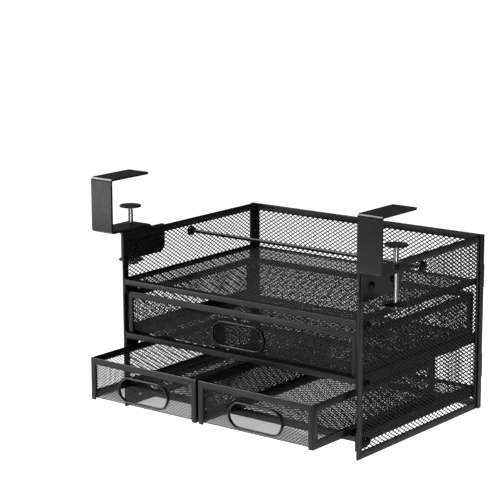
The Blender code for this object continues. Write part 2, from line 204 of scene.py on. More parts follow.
def position():
    """The x, y and z of the points that the group is working on."""
    here = add(expanded, "GeometryNodeInputPosition").outputs[0]
    return add(expanded, "ShaderNodeSeparateXYZ", {0: here}).outputs


# two grids of cell centres, the second half a pitch off in both ways
centres = []
for less in (0.0, 1.0):
    columns = maths("SUBTRACT", given["Columns"], less)
    rows = maths("SUBTRACT", given["Rows"], less)
    grid = add(expanded, "GeometryNodeMeshGrid", {
        "Size X": maths("MULTIPLY", maths("SUBTRACT", columns, 1.0), given["Long Way"]),
        "Size Y": maths("MULTIPLY", maths("SUBTRACT", rows, 1.0), given["Short Way"]),
        "Vertices X": columns, "Vertices Y": rows})
    centres.append(grid.outputs["Mesh"])
both = add(expanded, "GeometryNodeJoinGeometry", {0: centres[0]})
expanded.links.new(centres[1], both.inputs[0])
dots = add(expanded, "GeometryNodeMeshToPoints", {"Mesh": both.outputs[0]})
# no cells inside the round-ended cut-out
spot = position()
end_r = maths("DIVIDE", given["Cut Height"], 2.0)
straight = maths("SUBTRACT", maths("DIVIDE", given["Cut Width"], 2.0), end_r)
past = maths("MAXIMUM", maths("SUBTRACT", maths("ABSOLUTE", spot["X"]), straight), 0.0)
off = maths("SUBTRACT", spot["Y"], given["Cut Along"])
reach = maths("SQRT", maths("ADD", maths("POWER", past, 2.0), maths("MULTIPLY", off, off)))
left_in = add(expanded, "GeometryNodeDeleteGeometry", {
    "Geometry": dots.outputs[0], "Selection": maths("LESS_THAN", reach, end_r)}, domain="POINT")
# the cell takes its size: ridges at full thickness, the opening's rim leaning through the middle
cell_in = add(expanded, "GeometryNodeObjectInfo", {"Object": given["Cell"]})
at = position()
rim = maths("LESS_THAN", maths("ABSOLUTE", at["Z"]), 0.5)
size = maths("SUBTRACT", 1.0, maths("MULTIPLY", rim, maths("SUBTRACT", 1.0, given["Opening"])))
cell_x = maths("MULTIPLY", maths("MULTIPLY", at["X"], size), given["Long Way"])
cell_y = maths("MULTIPLY", maths("MULTIPLY", at["Y"], size), given["Short Way"])
tip = maths("MULTIPLY", maths("MULTIPLY", at["Y"], rim), maths("MULTIPLY", given["Lean"], -2.0))
cell_z = maths("MULTIPLY_ADD", at["Z"], maths("DIVIDE", given["Thickness"], 2.0), tip)
shaped = add(expanded, "GeometryNodeSetPosition", {
    "Geometry": cell_in.outputs["Geometry"],
    "Position": add(expanded, "ShaderNodeCombineXYZ", {"X": cell_x, "Y": cell_y, "Z": cell_z}).outputs[0]})
copies = add(expanded, "GeometryNodeInstanceOnPoints", {
    "Points": left_in.outputs[0], "Instance": shaped.outputs[0]})
real = add(expanded, "GeometryNodeRealizeInstances", {0: copies.outputs[0]})
welded = add(expanded, "GeometryNodeMergeByDistance", {"Geometry": real.outputs[0], "Distance": WELD_MM * MM})
soft = add(expanded, "GeometryNodeSetShadeSmooth", {"Geometry": welded.outputs[0]})
dressed = add(expanded, "GeometryNodeSetMaterial", {
    "Geometry": soft.outputs[0], "Material": given["Material"]})
add(expanded, "NodeGroupOutput", {"Geometry": dressed.outputs[0]})


def expanded_sheet(name, across, along, diamond, strand, place, thickness=0.7, lean=0.14, cut=None):
    """A sheet of expanded metal, in mm. place turns its own (across, along, out) into x, y, z."""
    columns, rows = round(across / diamond[0]), round(along / diamond[1])
    wide, high = across / columns, along / rows
    values = {"Columns": columns, "Rows": rows, "Long Way": wide * MM, "Short Way": high * MM,
              "Opening": 1 - strand * math.hypot(wide, high) / (wide * high), "Thickness": thickness * MM,
              "Lean": lean * MM, "Cell": diamond_cell, "Material": expanded_coat}
    if cut:
        values.update({"Cut Width": cut[0] * MM, "Cut Height": cut[1] * MM, "Cut Along": cut[2] * MM})
    ob = as_object(name, bpy.data.meshes.new(name))
    made = ob.modifiers.new("expanded metal", "NODES")
    made.node_group = expanded
    for label, value in values.items():
        made[expanded_inputs[label]] = value
    bpy.context.view_layer.update()
    baked(ob, name)
    bm = bmesh.new()
    bm.from_mesh(ob.data)
    border = {v for e in bm.edges if e.is_boundary for v in e.verts}
    for v in border:
        v.co.z = 0.0
    if cut:
        # the strands that are cut by the opening end on its edge, under the pull ring
        r = cut[1] / 2.0 * MM
        half = cut[0] / 2.0 * MM - r
        for v in bm.verts:
            x, y = v.co.x, v.co.y - cut[2] * MM
            px = x - max(-half, min(half, x))
            d = math.hypot(px, y)
            if 1e-9 < d < r:
                v.co.x += px * (r / d - 1)
                v.co.y += y * (r / d - 1)
                v.co.z = 0.0
    bmesh.ops.remove_doubles(bm, verts=list(border), dist=WELD_MM * MM)
    bmesh.ops.dissolve_degenerate(bm, dist=0.004 * MM, edges=bm.edges[:])
    bm.to_mesh(ob.data)
    bm.free()
    flat = np.empty(len(ob.data.vertices) * 3)
    ob.data.vertices.foreach_get("co", flat)
    u, v, w = flat.reshape(-1, 3).T / MM
    ob.data.vertices.foreach_set("co", (np.stack(place(u, v, w), 1) * MM).ravel())
    ob.data.update()
    return ob


def middle(node):
    """A CAD piece's middle and size, in mm."""
    low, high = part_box(node)
    return [(a + b) / 2 / MM for a, b in zip(low, high)], [(b - a) / MM for a, b in zip(low, high)]


PANEL_TUCK = 4.5               # how far the sheet's tips run into the folded strips
PANEL_DIAMOND = (7.3, 4.7)     # width and height of one diamond
PANEL_STRAND = 1.3
for side in ("left", "right"):
    node = "side_mesh_" + side
    (x0, y0, z0), (_, deep, tall) = middle(node)
    lattice = expanded_sheet(node + "_lattice", deep + 2 * PANEL_TUCK, tall + 2 * PANEL_TUCK, PANEL_DIAMOND,
                             PANEL_STRAND, lambda u, v, w: (x0 + w, y0 + u, z0 + v))
    keep(lattice, "cabinet", [node], expanded_coat)


# ==== Back panel =============================================================================
# The back is a 1.5 mm steel frame that wraps a few millimetres round the side panels and takes
# their four hooks in slots. It is powder coated like them, with expanded steel welded in its window.
BACK_DIAMOND = (7.75, 4.74)
SHEET_EDGE = 0.5               # how far the coat rounds the edges of the 1.5 mm sheet
coated = eased("back_frame_coated", skin("back_frame"), SHEET_EDGE)
keep(coated, "cabinet", ["back_frame"], powder_coat)
(x0, y0, z0), (wide, _, tall) = middle("back_mesh")
lattice = expanded_sheet("back_mesh_lattice", wide + 2 * PANEL_TUCK, tall + 2 * PANEL_TUCK, BACK_DIAMOND,
                         PANEL_STRAND, lambda u, v, w: (x0 + u, y0 - w, z0 + v))
keep(lattice, "cabinet", ["back_mesh"], expanded_coat)


# ==== Trays ==================================================================================
# Three trays carry the drawers and the papers on top: a folded 1.5 mm rim with a rolled front lip
# and two bolted ears, black powder coated, with expanded steel spot-welded in.
TRAY_STRAND = 1.1
for row in ("top", "middle", "bottom"):
    node = "tray_frame_" + row
    keep(eased(node + "_coated", skin(node), 0.55), "cabinet", [node], powder_coat)
    node = "tray_mesh_" + row
    (x0, y0, z0), (wide, deep, _) = middle(node)
    lattice = expanded_sheet(node + "_lattice", wide + 2 * PANEL_TUCK, deep + 2 * PANEL_TUCK, PANEL_DIAMOND,
                             TRAY_STRAND, lambda u, v, w: (x0 + u, y0 + v, z0 + w), thickness=0.55, lean=0.1)
    keep(lattice, "cabinet", [node], expanded_coat)


# ==== Tie rod ================================================================================
# A turned steel rod with a flange at each end holds the side panels apart at the top. It is drawn
# bar with a black oxide and oil finish, which keeps the fine lines of the drawing along its length.
drawn_oxide = surface("black_oxide_drawn_steel", "#1a1a1b", "#2a2a2b", 8, (0.26, 0.38), 3, 0.5, 0.004,
                      metallic=0.6, stretch=(0.08, 1, 1))


def turned(name, profile, at, axis, around=40):
    """A turned piece: profile of (radius, place along the axis) in mm, on the line through at."""
    bm = bmesh.new()
    rings = []
    for r, w in profile:
        ring = []
        for i in range(around if r > 1e-6 else 1):
            t = 2 * math.pi * i / around
            p = (r * math.cos(t), r * math.sin(t), w)
            p = {"X": (p[2], p[0], p[1]), "Z": p}[axis]
            ring.append(bm.verts.new([(a + b) * MM for a, b in zip(p, at)]))
        rings.append(ring)
    for p, q in zip(rings, rings[1:]):
        for i in range(around):
            j = (i + 1) % around
            if len(p) == 1 and len(q) == 1:
                continue
            if len(p) == 1:
                bm.faces.new([p[0], q[j], q[i]])
            elif len(q) == 1:
                bm.faces.new([p[i], p[j], q[0]])
            else:
                bm.faces.new([p[i], p[j], q[j], q[i]])
    bmesh.ops.recalc_face_normals(bm, faces=bm.faces[:])
    mesh = bpy.data.meshes.new(name)
    bm.to_mesh(mesh)
    bm.free()
    mesh.shade_smooth()
    mesh.set_sharp_from_angle(angle=math.radians(32))
    return as_object(name, mesh)


(x0, y0, z0), (rod_long, rod_wide, _) = middle("tie_rod")
e, cap, core = rod_long / 2, rod_wide / 2, 2.25
half_rod = [(0, e), (cap - 0.3, e), (cap, e - 0.3), (cap, e - 1.2), (cap - 0.3, e - 1.5),
            (core + 0.7, e - 1.5), (core + 0.2, e - 1.7), (core, e - 2.3)]
rod = turned("tie_rod_turned", half_rod + [(r, -w) for r, w in reversed(half_rod)], (x0, y0, z0), "X")
keep(rod, "cabinet", ["tie_rod"], drawn_oxide)


# ==== Screws of the cabinet ==================================================================
# Pan-head machine screws hold the trays, the clamps and the tie rod. They are steel with a black
# oxide and oil finish, which is dark and shiny on the rounded heads, each with a cross recess.
black_oxide = surface("black_oxide_steel", "#1a1a1b", "#262627", 3, (0.18, 0.30), 2, 0.4, 0.004, metallic=0.6)


def pan_screw(name, head_r, head_h, shank_r, shank):
    """One screw along +X with its head's seat at x = 0, and a cross recess in the dome."""
    dome = [(head_r * math.cos(math.radians(a)), head_h * (0.3 + 0.7 * math.sin(math.radians(a))))
            for a in range(0, 90, 10)]
    profile = [(0, -shank), (shank_r - 0.3, -shank), (shank_r, 0.3 - shank), (shank_r, 0),
               (head_r - 0.25, 0), (head_r, 0.25)] + dome + [(0, head_h)]
    ob = turned(name, profile, (0, 0, 0), "X", 28)
    recess = bpy.data.meshes.new("recess")
    bm = bmesh.new()
    for turn in (0, 90):
        # a wedge that narrows towards the tip of the driver
        long, wide, deep = head_r * 0.58, head_r * 0.13, head_h * 0.75
        c, s = math.cos(math.radians(turn)), math.sin(math.radians(turn))
        shift = 0.0003 * (turn / 90)
        rings = []
        for x, u, v in ((head_h + 0.5, long, wide), (head_h - deep, long * 0.35, wide * 0.8)):
            square = [(-u, -v), (u, -v), (u, v), (-u, v)]
            rings.append([bm.verts.new(((x + shift) * MM, (c * a - s * b) * MM, (s * a + c * b) * MM))
                          for a, b in square])
        bm.faces.new(rings[0])
        bm.faces.new(rings[1][::-1])
        for i in range(4):
            j = (i + 1) % 4
            bm.faces.new([rings[0][i], rings[1][i], rings[1][j], rings[0][j]])
    bmesh.ops.recalc_face_normals(bm, faces=bm.faces[:])
    bm.to_mesh(recess)
    bm.free()
    cutter = as_object("recess", recess)
    cut = ob.modifiers.new("recess", "BOOLEAN")
    cut.operation, cut.solver, cut.object, cut.use_self = "DIFFERENCE", "EXACT", cutter, True
    bpy.context.view_layer.update()
    baked(ob, name)
    bpy.data.objects.remove(cutter, do_unlink=True)
    ob.data.set_sharp_from_angle(angle=math.radians(32))
    return ob


screws, screw_inputs, given = node_group("screws_in_place", [
    ("Seats", "Geometry"), ("Screw", "Object"), ("Material", "Material")])
turn = add(screws, "GeometryNodeInputNamedAttribute", {"Name": "turn"}, data_type="FLOAT_VECTOR")
one = add(screws, "GeometryNodeObjectInfo", {"Object": given["Screw"]})
dots = add(screws, "GeometryNodeMeshToPoints", {"Mesh": given["Seats"]})
copies = add(screws, "GeometryNodeInstanceOnPoints", {
    "Points": dots.outputs[0], "Instance": one.outputs["Geometry"],
    "Rotation": add(screws, "FunctionNodeEulerToRotation", {0: turn.outputs["Attribute"]}).outputs[0]})
real = add(screws, "GeometryNodeRealizeInstances", {0: copies.outputs[0]})
dressed = add(screws, "GeometryNodeSetMaterial", {"Geometry": real.outputs[0], "Material": given["Material"]})
add(screws, "NodeGroupOutput", {"Geometry": dressed.outputs[0]})


def drive(name, screw, seats, mat):
    """Puts a copy of the screw at each seat (x, y, z, (turns about x, y and z)), as one mesh."""
    mesh = bpy.data.meshes.new(name)
    mesh.from_pydata([[c * MM for c in seat[:3]] for seat in seats], [], [])
    turns = mesh.attributes.new("turn", "FLOAT_VECTOR", "POINT")
    for i, seat in enumerate(seats):
        turns.data[i].vector = [math.radians(a) for a in seat[3]]
    ob = as_object(name, mesh)
    made = ob.modifiers.new("screws", "NODES")
    made.node_group = screws
    made[screw_inputs["Screw"]] = screw
    made[screw_inputs["Material"]] = mat
    bpy.context.view_layer.update()
    return baked(ob, name)


def seats_of(nodes, head):
    """Where the screws of these CAD pieces sit: under the head, pointing out, each at its own angle."""
    found = []
    for k, node in enumerate(nodes):
        low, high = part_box(node)
        right = low[0] + high[0] > 0
        x = high[0] / MM - head if right else low[0] / MM + head
        (_, y, z), _ = middle(node)
        found.append((x, y, z, (17 + 41 * k, 0, 0 if right else 180)))
    return found


tray_bolts = ["tray_bolt_%s_%s" % (row, side) for row in ("top", "middle", "bottom")
              for side in ("left", "right")]
clamp_bolts = ["clamp_bolt_%s_%s" % (end, side) for end in ("front", "rear") for side in ("left", "right")]
screw = pan_screw("pan_screw_m4", 4.5, 2.8, 1.9, 7.1)
done = drive("tray_and_clamp_screws", screw, seats_of(tray_bolts + clamp_bolts, 2.8), black_oxide)
keep(done, "cabinet", tray_bolts + clamp_bolts, black_oxide)
bpy.data.objects.remove(screw, do_unlink=True)
rod_ends = ["tie_rod_screw_left", "tie_rod_screw_right"]
screw = pan_screw("pan_screw_wide", 6.0, 2.4, 1.9, 1.4)
done = drive("tie_rod_end_screws", screw, seats_of(rod_ends, 2.4), black_oxide)
keep(done, "cabinet", rod_ends, black_oxide)
bpy.data.objects.remove(screw, do_unlink=True)


# ==== Drawers ================================================================================
# Each drawer is a hoop of folded strip front and back on two punched side plates, powder coated.
# One piece of finer expanded steel, with diamonds 4.65 mm by 3.35 mm, folds down the front, under
# the floor and up the back, and another fills each side.
PULL_LEVEL, PULL_WIDE, PULL_TALL, PULL_RIM = 20.0, 75.0, 30.5, 2.0
WRAP_BEND = 2.6
DRAWER_DIAMOND = (4.65, 3.35)
DRAWER_STRAND = 0.8


def folded(cx, front, rear, top, floor, start):
    """Where a sheet goes that runs down the front, along the floor and up the back of a drawer."""
    r = WRAP_BEND
    drop, arc, run = top - floor - r, math.pi / 2 * r, rear - front - 2 * r

    def place(u, v, w):
        s = v + start
        a = np.clip((s - drop) / arc, 0, 1) * math.pi / 2
        b = np.clip((s - drop - arc - run) / arc, 0, 1) * math.pi / 2
        y = front + r * (1 - np.cos(a)) + np.clip(s - drop - arc, 0, run) + r * np.sin(b)
        z = top - np.clip(s, None, drop) - r * np.sin(a) + r * (1 - np.cos(b))
        z = z + np.clip(s - drop - 2 * arc - run, 0, None)
        lean = a + b
        return cx + u, y + w * np.cos(lean), z + w * np.sin(lean)

    return place, 2 * drop + 2 * arc + run


for drawer in ("wide_drawer", "left_drawer", "right_drawer"):
    low, high = [[c / MM for c in corner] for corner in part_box(drawer + "_frame")]
    cx, wide = (low[0] + high[0]) / 2, high[0] - low[0]
    coated = eased(drawer + "_frame_coated", skin(drawer + "_frame"), SHEET_EDGE)
    keep(coated, drawer, [drawer + "_frame"], powder_coat)
    front, rear, top, floor = low[1] + 2.3, high[1] - 2.3, high[2] - 1.0, low[2] + 1.5
    _, long = folded(cx, front, rear, top, floor, 0.0)
    pieces = 2 if wide > 200 else 1   # the wide drawer's sheet is in two pieces, which keeps each one light
    stretch = long / pieces
    for part in range(pieces):
        centre = stretch * (part + 0.5)
        place, _ = folded(cx, front, rear, top, floor, centre)
        cut = None
        if part == 0:
            cut = (PULL_WIDE - PULL_RIM, PULL_TALL - PULL_RIM, top - low[2] - PULL_LEVEL - centre)
        lattice = expanded_sheet("%s_folded_lattice_%d" % (drawer, part + 1), wide - 1.0, stretch,
                                 DRAWER_DIAMOND, DRAWER_STRAND, place, thickness=0.5, lean=0.08, cut=cut)
        keep(lattice, drawer, [drawer + "_mesh"], expanded_coat)
    for side in ("left", "right"):
        node = "%s_side_mesh_%s" % (drawer, side)
        (x0, y0, z0), (_, deep, tall) = middle(node)
        lattice = expanded_sheet(node + "_lattice", deep + 5, tall + 5, DRAWER_DIAMOND, DRAWER_STRAND,
                                 lambda u, v, w: (x0 + w, y0 + u, z0 + v), thickness=0.5, lean=0.08)
        keep(lattice, drawer, [node], expanded_coat)
bpy.data.objects.remove(diamond_cell, do_unlink=True)


# ==== Pull rings =============================================================================
# A round-ended ring lines the finger hole of each drawer. It is moulded ABS, black and fairly
# glossy, with rounded edges, pressed over the cut edge of the mesh.
RING_EDGE = 0.75
moulded_abs = surface("moulded_abs", "#131314", "#1a1a1b", 14, (0.20, 0.30), 5, 0.8, 0.006)
for drawer in ("wide_drawer", "left_drawer", "right_drawer"):
    node = drawer + "_pull_ring"
    (x0, y0, z0), (wide, deep, tall) = middle(node)
    bm = bmesh.new()
    # the ring's section is a rectangle with rounded corners
    section = []
    for sx, sy, first in ((1, 1, 0), (-1, 1, 90), (-1, -1, 180), (1, -1, -90)):
        for a in range(0, 91, 30):
            t = math.radians(a + first)
            section.append((sx * (PULL_RIM / 2 - RING_EDGE) + RING_EDGE * math.cos(t),
                            sy * (deep / 2 - RING_EDGE) + RING_EDGE * math.sin(t)))
    mid_r = tall / 2 - PULL_RIM / 2
    loops = []
    for side, first in ((1, -90), (-1, 90)):
        for i in range(25):
            t = math.radians(first + 180.0 * i / 24)
            end = x0 + side * (wide / 2 - tall / 2)
            loops.append([bm.verts.new(((end + (mid_r + o) * math.cos(t)) * MM, (y0 + d) * MM,
                                        (z0 + (mid_r + o) * math.sin(t)) * MM)) for o, d in section])
    for p, q in zip(loops, loops[1:] + loops[:1]):
        for i in range(len(section)):
            j = (i + 1) % len(section)
            bm.faces.new([p[i], q[i], q[j], p[j]])
    bmesh.ops.recalc_face_normals(bm, faces=bm.faces[:])
    mesh = bpy.data.meshes.new(node + "_moulded")
    bm.to_mesh(mesh)
    bm.free()
    mesh.shade_smooth()
    keep(as_object(node + "_moulded", mesh), drawer, [node], moulded_abs)


# ==== Clamp brackets =========================================================================
# Each clamp is one piece of 3 mm steel strip bent to a C round the desk edge, with a tab that
# turns down and bolts to the side panel. It is powder coated after bending, so the bends are smooth.
def strip_plate(name, a, b, outline):
    """A flat plate in mm: an outline in y and z, from a to b along x."""
    bm = bmesh.new()
    ends = []
    for w in (a, b):
        ends.append([bm.verts.new([c * MM for c in (w, u, v)]) for u, v in outline])
    n = len(outline)
    bm.faces.new(ends[0])
    bm.faces.new(ends[1][::-1])
    for i in range(n):
        j = (i + 1) % n
        bm.faces.new([ends[0][i], ends[1][i], ends[1][j], ends[0][j]])
    bmesh.ops.recalc_face_normals(bm, faces=bm.faces[:])
    mesh = bpy.data.meshes.new(name)
    bm.to_mesh(mesh)
    bm.free()
    return as_object(name, mesh)


def bend(cu, cv, r, first, steps=8):
    """A quarter turn about a point, starting at an angle in degrees."""
    angles = [math.radians(first + 90.0 * i / steps) for i in range(steps + 1)]
    return [(cu + r * math.cos(a), cv + r * math.sin(a)) for a in angles]


STRIP_WIDE, STRIP_THICK, ARM_LONG, ARM_DROP = 31.0, 3.0, 66.5, 65.7
TAB_THICK, TAB_FRONT, TAB_REAR, TAB_CORNER = 2.5, 2.0, 78.0, 7.0
WEB_OUT = 11.5   # the web stands this far in front of the side panel
OUTER_BEND, TAB_BEND = 4.2, 5.0
for side, s in (("left", -1), ("right", 1)):
    node = "clamp_bracket_" + side
    low, high = [[c / MM for c in corner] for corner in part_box(node)]
    screw_at, _ = middle("clamp_screw_" + side)
    out, tab_x = (low[0], high[0]) if s < 0 else (high[0], low[0])
    inner = out - s * STRIP_WIDE
    front, top = low[1], high[2]
    rear, arm = front + ARM_LONG, top - ARM_DROP
    panel_front = front + WEB_OUT
    t, r = STRIP_THICK, OUTER_BEND
    outline = ([(rear, arm), (rear, arm + t)] + bend(front + r, arm + r, r - t, 180)[::-1]
               + bend(front + r, top - r, r - t, 90)[::-1] + [(rear, top - t), (rear, top)]
               + bend(front + r, top - r, r, 90) + bend(front + r, arm + r, r, 180))
    body = strip_plate(node + "_strip", min(inner, out), max(inner, out), outline)
    # the shoulder runs inwards from the lower arm and turns down into the tab in one smooth bend
    path = [(inner + s * 6, arm + t), (inner + s * 6, arm)]
    inside, outside = tab_x + s * TAB_THICK, tab_x
    tight = TAB_BEND - TAB_THICK
    rise = [math.radians(11.25 * i) for i in range(9)]
    path += [(inside + s * tight * (1 - math.cos(a)), arm - tight + tight * math.sin(a)) for a in rise[::-1]]
    path += [(inside, low[2]), (outside, low[2])]
    path += [(outside + s * TAB_BEND * (1 - math.cos(a)), arm + t - TAB_BEND + TAB_BEND * math.sin(a))
             for a in rise]
    bm = bmesh.new()
    ends = [[bm.verts.new((x * MM, (panel_front + y) * MM, z * MM)) for x, z in path]
            for y in (TAB_FRONT, TAB_REAR)]
    bm.faces.new(ends[0])
    bm.faces.new(ends[1][::-1])
    for i in range(len(path)):
        j = (i + 1) % len(path)
        bm.faces.new([ends[0][i], ends[1][i], ends[1][j], ends[0][j]])
    bmesh.ops.recalc_face_normals(bm, faces=bm.faces[:])
    mesh = bpy.data.meshes.new(node + "_tab")
    bm.to_mesh(mesh)
    bm.free()
    tab = as_object(node + "_tab", mesh)
    cuts = []
    # the tab's rear end is cut back above the shoulder, and its lower rear corner is clipped
    big = 60.0
    mid, tab_end = (inner + tab_x) / 2, panel_front + TAB_REAR
    cuts.append(strip_plate("shoulder_end", mid - 30, mid + 30,
                            [(rear, arm - 0.01), (rear + big, arm - 0.01), (rear + big, top), (rear, top)]))
    cuts.append(strip_plate("tab_corner", mid - 30, mid + 30,
                            [(tab_end - TAB_CORNER, low[2] - 1), (tab_end + 1, low[2] - 1),
                             (tab_end + 1, low[2] + TAB_CORNER), (tab_end, low[2] + TAB_CORNER),
                             (tab_end - TAB_CORNER, low[2])]))
    cuts.append(turned("screw_hole", [(0, arm - 1), (3.6, arm - 1), (3.6, arm + t + 1), (0, arm + t + 1)],
                       (screw_at[0], screw_at[1], 0), "Z"))
    for cutter in cuts[:2]:
        mod = tab.modifiers.new("cut", "BOOLEAN")
        mod.operation, mod.solver, mod.object = "DIFFERENCE", "EXACT", cutter
    join = body.modifiers.new("join", "BOOLEAN")
    join.operation, join.solver, join.object = "UNION", "EXACT", tab
    hole = body.modifiers.new("hole", "BOOLEAN")
    hole.operation, hole.solver, hole.object = "DIFFERENCE", "EXACT", cuts[2]
    bpy.context.view_layer.update()
    baked(body, node + "_bent")
    for tool in cuts + [tab]:
        bpy.data.objects.remove(tool, do_unlink=True)
    bm = bmesh.new()
    bm.from_mesh(body.data)
    bmesh.ops.remove_doubles(bm, verts=bm.verts[:], dist=2e-6)
    bmesh.ops.dissolve_limit(bm, angle_limit=math.radians(1), verts=bm.verts[:], edges=bm.edges[:])
    bm.to_mesh(body.data)
    bm.free()
    mesh = body.data
    bpy.data.objects.remove(body, do_unlink=True)
    keep(eased(node + "_bent", mesh, 0.5, turn=40), "cabinet", [node], powder_coat)


# ==== Weld nuts ==============================================================================
# A hexagon weld nut under each lower arm guides the clamp screw. It is turned steel with chamfered
# corners and a bright zinc plating.
NUT_FLATS, NUT_CORNER, NUT_BORE = 10.0, 5.77, 3.25
plated_zinc = surface("bright_zinc_plated_steel", "#8c8e90", "#a6a8aa", 6, (0.16, 0.22), 4, 0.6, 0.001,
                      metallic=1.0)
for side in ("left", "right"):
    node = "weld_nut_" + side
    (x0, y0, z0), (_, _, tall) = middle(node)
    bm = bmesh.new()
    loops = []
    # round at the chamfer below, a hexagon above it, then up and back down the bore
    for z, hexagon, r in ((-tall / 2, False, NUT_FLATS / 2 - 0.2), (-tall / 2 + 0.6, True, NUT_CORNER),
                          (tall / 2, True, NUT_CORNER), (tall / 2, False, NUT_BORE),
                          (-tall / 2 + 0.5, False, NUT_BORE), (-tall / 2, False, NUT_BORE + 0.45)):
        loop = []
        for i in range(36):
            t = 2 * math.pi * i / 36
            out = r
            if hexagon:
                out = min(NUT_FLATS / 2 / math.cos((t + math.pi / 6) % (math.pi / 3) - math.pi / 6), r)
            spot = (x0 + out * math.cos(t), y0 + out * math.sin(t), z0 + z)
            loop.append(bm.verts.new([c * MM for c in spot]))
        loops.append(loop)
    for p, q in zip(loops, loops[1:] + loops[:1]):
        for i in range(36):
            j = (i + 1) % 36
            bm.faces.new([p[i], p[j], q[j], q[i]])
    bmesh.ops.recalc_face_normals(bm, faces=bm.faces[:])
    mesh = bpy.data.meshes.new(node + "_turned")
    bm.to_mesh(mesh)
    bm.free()
    mesh.shade_smooth()
    mesh.set_sharp_from_angle(angle=math.radians(25))
    keep(as_object(node + "_turned", mesh), "cabinet", [node], plated_zinc)


# ==== Clamp screws ===========================================================================
# The clamp screws are M6 threaded rods with a 1 mm pitch, rolled and bright zinc plated, each
# moulded into its knob at the lower end and turned to a plain ball tip at the top.
ROD_R, THREAD_PITCH, PLAIN_TOP = 2.98, 1.0, 3.0


def thread(name, at, low, high, r, pitch, plain, around=24):
    """A threaded rod along Z in mm with a plain turned stretch at the top."""
    bm = bmesh.new()
    depth = 0.18 * pitch
    section = [(0.0, r - depth), (0.04, r - depth), (0.13, r), (0.95, r)]
    n = len(section)
    turns = int((high - plain - low) / pitch) - 1
    rows = []
    for k in range((turns + 1) * n + 1):
        share, rad = section[k % n]
        z = low + (k // n + share) * pitch
        ring = []
        for i in range(around + 1):
            t = 2 * math.pi * i / around
            zz = min(max(z + i / around * pitch - pitch, low + 0.8), low + 0.8 + turns * pitch)
            spot = (at[0] + rad * math.cos(t), at[1] + rad * math.sin(t), zz)
            ring.append(bm.verts.new([c * MM for c in spot]))
        rows.append(ring)
    for p, q in zip(rows, rows[1:]):
        for i in range(around):
            bm.faces.new([p[i], p[i + 1], q[i + 1], q[i]])
    bmesh.ops.remove_doubles(bm, verts=bm.verts[:], dist=2e-6)
    bmesh.ops.dissolve_degenerate(bm, dist=1e-6, edges=bm.edges[:])
    top = low + 0.8 + turns * pitch
    for z in (low + 0.8, top):
        edge = [e for e in bm.edges if e.is_boundary and all(abs(v.co.z - z * MM) < 1e-5 for v in e.verts)]
        bmesh.ops.holes_fill(bm, edges=edge, sides=0)
    bmesh.ops.recalc_face_normals(bm, faces=bm.faces[:])
    mesh = bpy.data.meshes.new(name)
    bm.to_mesh(mesh)
    bm.free()
    mesh.shade_smooth()
    mesh.set_sharp_from_angle(angle=math.radians(40))
    return as_object(name, mesh), top


def joined(name, parts):
    """Several loose solids as one piece."""
    bm = bmesh.new()
    for part in parts:
        bm.from_mesh(part.data)
    mesh = bpy.data.meshes.new(name)
    bm.to_mesh(mesh)
    bm.free()
    for part in parts:
        bpy.data.objects.remove(part, do_unlink=True)
    return as_object(name, mesh)


for side in ("left", "right"):
    node = "clamp_screw_" + side
    low, high = [[c / MM for c in corner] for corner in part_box(node)]
    (x0, y0, _), _ = middle(node)
    rod, top = thread(node + "_thread", (x0, y0), low[2], high[2], ROD_R, THREAD_PITCH, PLAIN_TOP)
    tip = turned(node + "_tip", [(0, top - 0.3), (2.4, top - 0.3), (2.4, top), (2.75, top + 0.3),
                                 (2.75, high[2] - 1.5), (2.3, high[2] - 1.2), (2.3, high[2] - 0.8),
                                 (2.7, high[2] - 0.5), (2.3, high[2] - 0.1), (0, high[2])],
                 (x0, y0, 0), "Z", 28)
    foot = turned(node + "_foot", [(0, low[2]), (2.0, low[2]), (2.4, low[2] + 0.4), (2.4, low[2] + 1.1),
                                   (0, low[2] + 1.1)], (x0, y0, 0), "Z", 28)
    keep(joined(node + "_threaded", [rod, tip, foot]), "screw_" + side, [node], plated_zinc)


# ==== Knobs ==================================================================================
# Each screw ends in a moulded black ABS knob: a thin round flange on a narrower ribbed grip, which
# the fingers turn. Its eight broad lobes are moulded with it and catch the light.
GRIP_R, LOBES = 6.9, 8
moulded_grip = surface("moulded_abs_satin", "#141415", "#1c1c1d", 10, (0.18, 0.26), 4, 0.5, 0.004)
moulded_grip.node_tree.nodes["Principled BSDF"].inputs["Coat Weight"].default_value = 1.0
rib_mesh = bpy.data.meshes.new("knob_rib")
half_rib = [(-0.6, -2.2), (0.7, -2.15), (1.15, -1.9), (1.37, -1.4)]
rib = half_rib + [(1.4, 0.0)] + [(x, -y) for x, y in reversed(half_rib)]
levels = [(0.0, 0.7), (0.4, 1.0), (3.4, 1.0), (3.8, 0.8)]
points = [((x * grow if x > 0 else x) * MM, y * MM, z * MM) for z, grow in levels for x, y in rib]
n = len(rib)
sides = [(n * k + i, n * k + (i + 1) % n, n * k + n + (i + 1) % n, n * k + n + i)
         for k in range(3) for i in range(n)]
rib_mesh.from_pydata(points, [], sides + [tuple(range(n - 1, -1, -1)), tuple(range(3 * n, 4 * n))])
rib_mesh.shade_smooth()
rib_mesh.set_sharp_from_angle(angle=math.radians(50))
knob_rib = as_object("knob_rib", rib_mesh)
